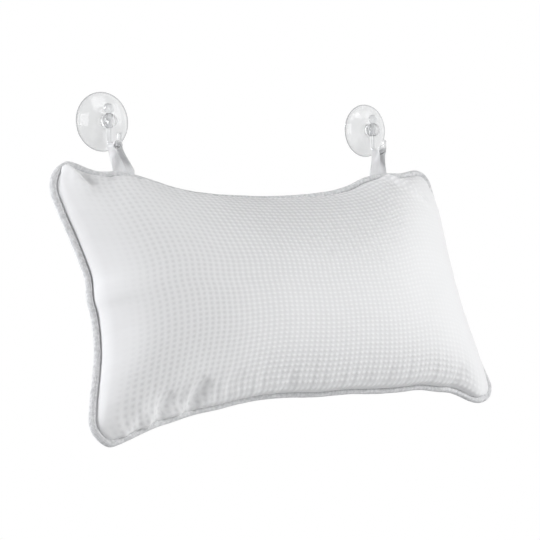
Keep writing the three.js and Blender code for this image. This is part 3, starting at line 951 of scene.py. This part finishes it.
# Where the cloth is pulled smooth and where it is slack, as shares of the panel's width.
pull = {
    "taut": 0.08,             # share of the relief that is left where it is smooth
    "edge": 0.025,            # the relief fades out this near the seam
    "mostRelief": 1.4,
    "leftStrip": 0.03,        # smooth strip at half height
    "leftFade": 0.1,          # width over which the relief comes in
    "leftSharper": 0.06,      # and how much narrower that is at the bottom
    "rightStrip": 0.07,
    "rightFade": 0.05,        # at the top and bottom
    "rightSofter": 0.29,      # how much wider it is at half height
    "slackFrom": 0.2,         # right of here the slack depends on the height
    "slackFade": 0.2,
    # slack up the pillow; above 1 the weave also gets deeper painted pit shade and painted light
    "slackUp": ((-1, -0.84, -0.65, -0.2, 0.15, 0.5, 0.8, 1), (1, 0.95, 0.75, 0.65, 0.95, 1.7, 2.3, 2.3)),
    "drawnTo": 0.42,          # left of here the front is drawn sideways
    "drawnFade": 0.25,
}


# Share of the weave's relief at each point, and how far the cloth is drawn sideways there. The back
# is slack nowhere and isn't drawn.
def slackness(shape, side):
    s = np.linspace(0, 1, shape[0])[:, None] + np.zeros(shape[1])
    rows = np.linspace(-1, 1, shape[1])[None, :]
    leftWidth = pull["leftFade"] - pull["leftSharper"] * np.clip(-rows, 0, 1)
    left = np.clip((s - pull["leftStrip"] * (1 - rows ** 2)) / leftWidth, 0, 1)
    rightWidth = pull["rightFade"] + pull["rightSofter"] * (1 - rows ** 4)
    right = np.clip((1 - pull["rightStrip"] * (1 - rows ** 2) - s) / rightWidth, 0, 1)
    up = np.interp(rows, *pull["slackUp"])
    if side > 0:
        up = np.minimum(up, 1)
    inward = np.clip((s - pull["slackFrom"]) / pull["slackFade"], 0, 1)
    loose = softStep(left) * softStep(right) * (1 + (up - 1) * inward)
    drawn = np.clip((pull["drawnTo"] - s) / pull["drawnFade"], 0, 1) * (side < 0)
    return pull["taut"] + (1 - pull["taut"]) * loose, softStep(drawn)


def shapeFace(face, side, seed, marks):
    fine = bulgeEdges(refine(face, pillow["finer"]))
    fine = gatherEdges(foldCloth(fine, side, seed, marks), side, seed)
    fine[..., 1] += cornerCurl(fine[..., [0, 2]])
    return fine


frontFine = shapeFace(frontFace, -1, 7, folds)
backFine = shapeFace(backFace, 1, 12, [])
frontCloth = makePanel("front_cloth", frontFine, -1, clothPaint)
backCloth = makePanel("back_cloth", backFine, 1, clothPaint)
for cloth, node in ((frontCloth, "front_panel"), (backCloth, "back_panel")):
    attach(cloth, "pillow")
    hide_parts(node)
print("panels made:", [len(c.data.polygons) for c in (frontCloth, backCloth)])


# The wadding fills the case and stays clear of the cloth.
wad = {
    "gap": 2.6 * mm,
    "seamGap": 0.3 * mm,      # half the thickness at its edge
    "inset": 0.94,            # share of the case's width and height
    "flatInset": 0.93,
    "edge": 0.06,
}


def makeWadding(setup):
    layers = []
    for fine, side in ((frontFine, -1), (backFine, 1)):
        face = fine[::pillow["finer"], ::pillow["finer"]]
        inside = face - gridNormals(face, side) * setup["gap"]
        flat = face[..., [0, 2]] * setup["flatInset"]
        inside[..., 0] = 0.5 * (inside[..., 0] * setup["inset"] + flat[..., 0])
        inside[..., 2] = 0.5 * (inside[..., 2] * setup["inset"] + flat[..., 1])
        keep = edgeFade(face.shape[:2], setup["edge"])
        thin = side * setup["seamGap"]
        inside[..., 1] = thin + (inside[..., 1] - thin) * keep
        layers.append(inside)
    front, back = layers
    edge = np.zeros(front.shape[:2], bool)
    edge[0] = edge[-1] = True
    edge[:, 0] = edge[:, -1] = True
    count = edge.size
    backIndex = np.arange(count).reshape(edge.shape)
    backIndex[~edge] = count + np.arange((~edge).sum())
    points = np.vstack([front.reshape(-1, 3), back[~edge]])
    quads = gridFaces(across, up)
    faces = np.vstack([quads, backIndex.ravel()[quads][:, ::-1]]).tolist()
    mesh = meshOf("wadding_fill", toRow(points), faces)
    mesh.materials.append(waddingPaint)
    return addObject("wadding_fill", mesh)


wadding = makeWadding(wad)
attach(wadding, "pillow")
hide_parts("filling")

# ---- piping, its cord and the stitches beside it

piping = {
    "radius": 2.5 * mm,
    "pucker": 0.22 * mm,
    "puckerSize": 150.0,
    "sides": 18,
    "steps": 900,
}
pipingCord = {
    "radius": 1.45 * mm,
    "pucker": 0.08 * mm,
    "puckerSize": 400.0,
    "sides": 8,
    "steps": 600,
}
wander = {                        # how the piping strays in front of and behind the seam
    "reach": 0.35 * mm,
    "waves": (17, 29, 43),
    "starts": (0.4, 2.1, 4.0),
    "shares": (0.5, 0.3, 0.2),
}
stitches = {
    "spacing": 3.1 * mm,
    "length": 2.1 * mm,
    "radius": 0.22 * mm,
    "inset": 3.0 * mm,
    "rise": 1.75 * mm,
    "seed": 5,
}


def curveThrough(name, points):
    data = bpy.data.curves.new(name, "CURVE")
    data.dimensions = "3D"
    spline = data.splines.new("POLY")
    spline.points.add(len(points) - 1)
    spline.points.foreach_set("co", np.hstack([points, np.ones((len(points), 1))]).ravel())
    spline.use_cyclic_u = True
    return addObject(name, data)


# A tube along a curve, uneven as a hand-turned bias strip is.
def tubeTree():
    tree, given = newTree("tube along the seam", [
        ("Radius", "Float", 0.0025), ("Sides", "Int", 16), ("Steps", "Int", 800), ("Pucker", "Float", 0.0002),
        ("Pucker size", "Float", 150.0), ("Material", "Material", None)])
    line = addNode(tree, "GeometryNodeResampleCurve", {"Curve": given["Geometry"], "Count": given["Steps"]})
    place = addNode(tree, "GeometryNodeSplineParameter")
    marked = addNode(tree, "GeometryNodeStoreNamedAttribute", {
        "Geometry": line.outputs[0], "Name": "along", "Value": place.outputs["Length"],
    }, data_type="FLOAT", domain="POINT")
    circle = addNode(tree, "GeometryNodeCurvePrimitiveCircle", {
        "Resolution": given["Sides"], "Radius": given["Radius"]})
    ring = addNode(tree, "GeometryNodeStoreNamedAttribute", {
        "Geometry": circle.outputs[0], "Name": "around", "Value": place.outputs["Factor"],
    }, data_type="FLOAT", domain="POINT")
    tube = addNode(tree, "GeometryNodeCurveToMesh", {
        "Curve": marked.outputs[0], "Profile Curve": ring.outputs[0]})
    noise = addNode(tree, "ShaderNodeTexNoise", {"Scale": given["Pucker size"], "Detail": 2.0})
    swell = mathNode(tree, "MULTIPLY", mathNode(tree, "SUBTRACT", noise.outputs[0], 0.5), given["Pucker"])
    swell = mathNode(tree, "MULTIPLY", swell, 2.0)
    normal = addNode(tree, "GeometryNodeInputNormal")
    step = addNode(tree, "ShaderNodeVectorMath", {0: normal.outputs[0], "Scale": swell}, operation="SCALE")
    moved = addNode(tree, "GeometryNodeSetPosition", {"Geometry": tube.outputs[0], "Offset": step.outputs[0]})
    smooth = addNode(tree, "GeometryNodeSetShadeSmooth", {"Geometry": moved.outputs[0]})
    endTree(tree, smooth.outputs[0], given["Material"])
    return tree


def outwardFacing(obj):
    shape = bmesh.new()
    shape.from_mesh(obj.data)
    bmesh.ops.remove_doubles(shape, verts=shape.verts, dist=1e-6)
    bmesh.ops.recalc_face_normals(shape, faces=shape.faces)
    shape.to_mesh(obj.data)
    shape.free()
    return obj


# Short threads laid along a curve at even steps.
def stitchTree():
    tree, given = newTree("stitches along the seam", [
        ("Spacing", "Float", 0.003), ("Length", "Float", 0.002), ("Radius", "Float", 0.0002),
        ("Seed", "Int", 5), ("Material", "Material", None)])
    dots = addNode(tree, "GeometryNodeCurveToPoints", {
        "Curve": given["Geometry"], "Length": given["Spacing"]}, mode="LENGTH")
    thread = addNode(tree, "GeometryNodeMeshCylinder", {
        "Vertices": 6, "Side Segments": 3, "Radius": given["Radius"], "Depth": given["Length"]})
    place = addNode(tree, "GeometryNodeInputPosition")
    height = addNode(tree, "ShaderNodeSeparateXYZ", {0: place.outputs[0]})
    share = mathNode(tree, "DIVIDE", height.outputs[2], mathNode(tree, "MULTIPLY", given["Length"], 0.5))
    narrow = mathNode(tree, "SQRT", mathNode(tree, "SUBTRACT", 1.05, mathNode(tree, "MULTIPLY", share, share)))
    flat = addNode(tree, "ShaderNodeCombineXYZ", {0: narrow, 1: narrow, 2: 1.0})
    shaped = addNode(tree, "ShaderNodeVectorMath", {
        0: place.outputs[0], 1: flat.outputs[0]}, operation="MULTIPLY")
    capsule = addNode(tree, "GeometryNodeSetPosition", {
        "Geometry": thread.outputs[0], "Position": shaped.outputs[0]})
    tilt = addNode(tree, "FunctionNodeRandomValue", {
        0: (-0.12, -0.12, 0.0), 1: (0.12, 0.12, 3.1), "Seed": given["Seed"]}, data_type="FLOAT_VECTOR")
    turned = addNode(tree, "FunctionNodeAlignRotationToVector", {"Vector": dots.outputs["Tangent"]}, axis="Z")
    local = addNode(tree, "FunctionNodeEulerToRotation", {0: tilt.outputs[0]})
    spun = addNode(tree, "FunctionNodeRotateRotation", {
        "Rotation": turned.outputs[0], "Rotate By": local.outputs[0]}, rotation_space="LOCAL")
    placed = addNode(tree, "GeometryNodeInstanceOnPoints", {
        "Points": dots.outputs[0], "Instance": capsule.outputs[0], "Rotation": spun.outputs[0]})
    endTree(tree, placed.outputs[0], given["Material"])
    return tree


tube = tubeTree()
turns = np.linspace(0, 2 * np.pi, len(seamLine), endpoint=False)[:, None]
sway = np.sin(turns * np.array(wander["waves"]) + wander["starts"])
strayed = (sway @ np.array(wander["shares"])) * wander["reach"] + cornerCurl(seamLine)
pipingPath = toRow(np.stack([seamLine[:, 0], strayed, seamLine[:, 1]], 1))


def makeTube(name, setup, paint):
    return outwardFacing(bakeTree(curveThrough(name, pipingPath), tube, {
        "Radius": setup["radius"], "Sides": setup["sides"], "Steps": setup["steps"],
        "Pucker": setup["pucker"], "Pucker size": setup["puckerSize"], "Material": paint}))


pipingTube = makeTube("piping", piping, pipingPaint)
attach(pipingTube, "pillow")
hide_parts("piping_cover")
pipingCore = makeTube("piping_core", pipingCord, cordPaint)
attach(pipingCore, "pillow")
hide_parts("piping_cord")

stitching = stitchTree()
ditch = insetSeam(stitches["inset"])
for side, name in ((-1, "front_stitches"), (1, "back_stitches")):
    path = np.stack([ditch[:, 0], side * stitches["rise"] + cornerCurl(ditch), ditch[:, 1]], 1)
    row = bakeTree(curveThrough(name, toRow(path)), stitching, {
        "Spacing": stitches["spacing"], "Length": stitches["length"], "Radius": stitches["radius"],
        "Seed": stitches["seed"], "Material": threadPaint})
    smoothShade(row.data)
    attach(row, "pillow")
print("piping and stitches made")

# ---- ribbon loops

ribbon = {
    "width": 11.4 * mm,
    "foldWidth": 10.2 * mm,
    "belly": 0.9 * mm,            # how far the strands are bowed across
    "thickness": 0.45 * mm,
    "rise": 19.0 * mm,
    "set": 2.6 * mm,
    "across": 125.496 * mm,
    "slide": 1.9 * mm,            # both loops are sewn in a little to the right
    "cupOutset": 4.5 * mm,
    "apart": 3.8 * mm,            # the two ends overlap, the left one in front
    "behind": 0.3 * mm,           # how far each end is set in front or behind
    "seatY": -20.4 * mm,
    "seatZ": -38.5 * mm,
    "seatRadius": 3.2 * mm,       # the ends come up round the piping, from its back to its top
    "seatAngle": 40,
    "tailTurn": 110,
    "tailRadius": 2.8 * mm,
    "rod": 2.0 * mm,
    "rodGap": 0.15 * mm,
    "spans": 14,
    "tailSteps": 10,
    "strandSteps": 44,
    "foldSteps": 24,
    "nearCurl": 1.9 * mm,         # how far the fold's edges ride up the hook's bends
    "farCurl": 1.1 * mm,
    "ridge": 0.1 * mm,
}


# A closed skin over rings of points that follow each other.
def loft(rings):
    rings = np.asarray(rings)
    count = rings.shape[1]
    faces = []
    for i in range(len(rings) - 1):
        for j in range(count):
            k = (j + 1) % count
            a, b = i * count, (i + 1) * count
            faces.append((a + j, a + k, b + k, b + j))
    faces.append(tuple(range(count))[::-1])
    last = (len(rings) - 1) * count
    faces.append(tuple(last + j for j in range(count)))
    return rings.reshape(-1, 3), faces


def makeLoop(name, side, paint):
    r = ribbon
    wrap = r["rod"] + r["rodGap"] + r["thickness"] / 2
    shift = side * r["cupOutset"] - r["slide"]
    lean = math.radians(pillow["lean"])
    middle = []

    def strand(sign, share):
        x = sign * (r["apart"] + (wrap - r["apart"]) * share) + shift * share
        behind = r["behind"] * sign * (1 - share)
        middle.append(((x, r["set"] * share + behind, r["rise"] * share), share))

    # Each strand starts behind the piping, deep in the seam.
    def tail(sign, share):
        angle = math.radians(r["seatAngle"] + r["tailTurn"] * (1 - share))
        radius = r["tailRadius"] + (r["seatRadius"] - r["tailRadius"]) * share
        reach = radius + r["behind"] * sign + r["thickness"] / 2
        top = math.radians(r["seatAngle"])
        w = reach * math.sin(angle) - r["seatRadius"] * math.sin(top)
        v = reach * math.cos(angle) - r["seatRadius"] * math.cos(top)
        middle.append(((sign * r["apart"], w * math.cos(lean) + v * math.sin(lean),
                        v * math.cos(lean) - w * math.sin(lean)), 0.0))

    for i in range(r["tailSteps"]):
        tail(-1, i / r["tailSteps"])
    for i in range(r["strandSteps"]):
        strand(-1, i / r["strandSteps"])
    for i in range(r["foldSteps"] + 1):
        angle = math.pi * (1 - i / r["foldSteps"])
        middle.append(((shift + wrap * math.cos(angle), r["set"], r["rise"] + wrap * math.sin(angle)), 1.0))
    for i in range(r["strandSteps"] - 1, -1, -1):
        strand(1, i / r["strandSteps"])
    for i in range(r["tailSteps"] - 1, -1, -1):
        tail(1, i / r["tailSteps"])
    places = np.array([m[0] for m in middle])
    eases = np.array([m[1] for m in middle])
    for _ in range(3):                                  # rounds off the bend at the seat
        places[1:-1] = 0.25 * places[:-2] + 0.5 * places[1:-1] + 0.25 * places[2:]
    rings = []
    shares = np.linspace(-1, 1, r["spans"] + 1)
    curl = np.where(shares > 0, r["nearCurl"], r["farCurl"]) * np.abs(shares) ** 3
    for i, (place, ease) in enumerate(zip(places, eases)):
        along = places[min(i + 1, len(places) - 1)] - places[max(i - 1, 0)]
        along /= np.linalg.norm(along)
        wide = np.array([r["width"] * (1 - ease), -r["foldWidth"] * ease, 0])
        thick = np.cross(along, wide)
        thick /= np.linalg.norm(thick)
        wide = np.cross(thick, along) * np.linalg.norm(wide)
        raised = -curl * ease ** 6
        belly = -r["belly"] * (1 - shares ** 2) * math.sin(math.pi * ease)
        ridge = r["ridge"] * np.cos(shares * 2.5 * math.pi) * ease
        bend = raised + belly + ridge
        near = [place + wide * s / 2 + thick * (b - r["thickness"] / 2) for s, b in zip(shares, bend)]
        far = [place + wide * s / 2 + thick * (b + r["thickness"] / 2) for s, b in zip(shares, bend)]
        rings.append(near + far[::-1])
    points, faces = loft(np.array(rings) + np.array((side * r["across"] + r["slide"], r["seatY"], r["seatZ"])))
    mesh = meshOf(name, points, faces)
    count = len(rings[0])
    half = count // 2
    along = np.repeat(np.linspace(0, 1, len(rings)), count)
    acrossShare = np.tile(np.concatenate([np.linspace(0, 1, half), np.linspace(1, 0, half)]), len(rings))
    storeWeave(mesh, np.stack([along, acrossShare], 1))
    mesh.materials.append(paint)
    return outwardFacing(addObject(name, mesh))


for side, word in ((-1, "left"), (1, "right")):
    loop = makeLoop(f"{word}_ribbon_loop", side, satinPaint)
    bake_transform(loop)
    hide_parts(f"{word}_loop")
print("ribbons made")

# ---- hooks and suction cups

hook = {
    "rod": 2.0 * mm,
    "ball": 4.2 * mm,
    "reach": 15.0 * mm,
    "bend": 4.5 * mm,
    "drop": 19.5 * mm,
    "tip": 10.5 * mm,
    "ballHeight": 5.2 * mm + math.sqrt(4.5 ** 2 - 2.35 ** 2) * mm,      # rests in the mouth of the boss's bore
    "neck": 0.12,                 # how much thicker the shank is under the ball
    "shankY": -10.3 * mm,
    "across": 129.996 * mm,
    "sides": 40,
    "ballSteps": 24,
    "shankSteps": 16,
    "bendSteps": 48,
    "tipSteps": 12,
}


def makeHook(name, side, paint):
    h = hook
    stations = []
    ballEnd = math.pi - math.asin(h["rod"] / h["ball"])
    for i in range(1, h["ballSteps"] + 1):
        angle = ballEnd * i / h["ballSteps"]
        stations.append((0, h["ballHeight"] + h["ball"] * math.cos(angle), 0, h["ball"] * math.sin(angle)))
    high, low = stations[-1][1], h["bend"] - h["drop"]
    for i in range(1, h["shankSteps"]):
        z = high + (low - high) * i / h["shankSteps"]
        stations.append((0, z, 0, h["rod"] * (1 + h["neck"] * math.exp(-i / 1.2))))
    for i in range(h["bendSteps"] + 1):
        turn = math.pi * i / h["bendSteps"]
        second = i > h["bendSteps"] // 2
        y = (h["bend"] - h["reach"] if second else -h["bend"]) + h["bend"] * math.cos(turn)
        z = h["bend"] - h["drop"] - h["bend"] * math.sin(turn)
        stations.append((y, z, turn, h["rod"]))
    for i in range(h["tipSteps"] + 1):
        angle = math.pi / 2 * i / (h["tipSteps"] + 0.5)
        z = h["tip"] - h["drop"] - h["rod"] + h["rod"] * math.sin(angle)
        stations.append((-h["reach"], z, math.pi, h["rod"] * math.cos(angle)))
    rings = []
    angles = np.linspace(0, 2 * math.pi, h["sides"], endpoint=False)
    for y, z, turn, radius in stations:
        flat = radius * np.sin(angles)
        ring = [-radius * np.cos(angles), y + flat * math.cos(turn), z - flat * math.sin(turn)]
        rings.append(np.stack(ring, 1))
    points, faces = loft(np.array(rings) + np.array((side * h["across"], h["shankY"], 0)))
    mesh = meshOf(name, points, faces)
    mesh.materials.append(paint)
    return outwardFacing(addObject(name, mesh))


cup = {
    "radius": 22.5 * mm,
    "lip": 3.0 * mm,
    "lipThickness": 0.9 * mm,
    "hollow": 3.8 * mm,
    "wall": 2.0 * mm,
    "flare": 8.0 * mm,
    "boss": 5.2 * mm,
    "bossEdge": 1.4 * mm,
    "front": 15.5 * mm,
    "bore": 2.3 * mm,
    "boreSides": 48,
    "sides": 128,
    "sharp": 40,              # degrees from which an edge stays sharp
}


def bezier(points, count):
    t = np.linspace(0, 1, count)[:, None]
    a, b, c = (np.array(p) for p in points)
    return (1 - t) ** 2 * a + 2 * t * (1 - t) * b + t ** 2 * c


# Profile as distance from the cup's axis and distance in front of the wall.
def cupProfile():
    c = cup
    dome = c["hollow"] + c["wall"]
    inner = bezier(((0, c["hollow"]), (c["radius"] * 0.55, c["hollow"]), (c["radius"] - c["lip"], 0)), 28)
    lip = [(c["radius"] - 0.5 * mm, 0), (c["radius"] - 0.15 * mm, 0.12 * mm), (c["radius"], 0.42 * mm),
           (c["radius"] - 0.08 * mm, 0.72 * mm), (c["radius"] - 0.5 * mm, c["lipThickness"])]
    skirt = (c["radius"] - 1.6 * mm, c["lipThickness"] + 0.12 * mm)
    outer = bezier((skirt, (c["radius"] * 0.66, dome), (c["flare"], dome)), 26)
    neck = bezier(((c["flare"], dome), (c["boss"], dome), (c["boss"], 8.3 * mm)), 14)[1:]
    side, face = (c["boss"], c["front"] - c["bossEdge"]), (c["boss"] - c["bossEdge"], c["front"])
    edge = bezier((side, (c["boss"], c["front"]), face), 10)
    return np.vstack([inner, lip, outer, neck, edge, [(0, c["front"])]])


def makeCup(name, side, paint):
    profile = cupProfile()
    sides = cup["sides"]
    angles = np.linspace(0, 2 * math.pi, sides, endpoint=False)
    body = profile[1:-1]
    points = [(0, -profile[0][1], 0)]
    for radius, out in body:
        points += [(radius * math.cos(a), -out, radius * math.sin(a)) for a in angles]
    points.append((0, -profile[-1][1], 0))
    faces = []
    for j in range(sides):
        k = (j + 1) % sides
        faces.append((0, 1 + j, 1 + k))
        last = 1 + (len(body) - 1) * sides
        faces.append((len(points) - 1, last + k, last + j))
        for i in range(len(body) - 1):
            a, b = 1 + i * sides, 1 + (i + 1) * sides
            faces.append((a + j, b + j, b + k, a + k))
    disc = outwardFacing(addObject(name, meshOf(name, np.array(points), faces)))
    drill = bpy.data.meshes.new("drill")
    shape = bmesh.new()
    bmesh.ops.create_cone(shape, cap_ends=True, segments=cup["boreSides"],
                          radius1=cup["bore"], radius2=cup["bore"], depth=30 * mm)
    bmesh.ops.translate(shape, verts=shape.verts, vec=(0, hook["shankY"], 0))
    shape.to_mesh(drill)
    shape.free()
    bore = addObject("drill", drill)
    cut = disc.modifiers.new("bore", "BOOLEAN")
    cut.object = bore
    cut.solver = "EXACT"
    disc = bakeModifiers(disc)
    bpy.data.objects.remove(bore)
    disc.data.transform(Matrix.Translation((side * hook["across"], 0, 0)))
    smoothShade(disc.data)
    disc.data.set_sharp_from_angle(angle=math.radians(cup["sharp"]))
    disc.data.materials.clear()
    disc.data.materials.append(paint)
    return disc


vinyl = {
    "tint": (0.84, 0.845, 0.85),
    "roughness": 0.035,
    "ior": 1.46,
    "clear": 0.84,
    "depth": (0.54, 0.56, 0.57, 1),
    "density": 16.0,
    "waves": 0.22,
    # colour of the painted shade line along the cup's edge
    "rim": (0.5, 0.51, 0.52, 1),
    "rimInside": (0.9 * mm, 0.4 * mm),      # from the cup's edge inwards, where the painted shade line starts and is full
}
hardPlastic = {
    "tint": (0.90, 0.903, 0.908),
    "roughness": 0.02,
    "ior": 1.47,
    "clear": 0.92,
    "depth": (0.54, 0.56, 0.57, 1),
    "density": 28.0,
    "waves": 0.05,
}
vinylPaint = clearPlastic("soft_vinyl", vinyl)
plasticPaint = clearPlastic("clear_plastic", hardPlastic)
for side, word in ((-1, "left"), (1, "right")):
    clearHook = makeHook(f"{word}_clear_hook", side, plasticPaint)
    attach(clearHook, f"{word}_hanger")
    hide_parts(f"{word}_hook")
    clearCup = makeCup(f"{word}_suction_cup", side, vinylPaint)
    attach(clearCup, f"{word}_sucker")
    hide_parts(f"{word}_cup")
print("hooks and cups made")

bpy.context.view_layer.update()
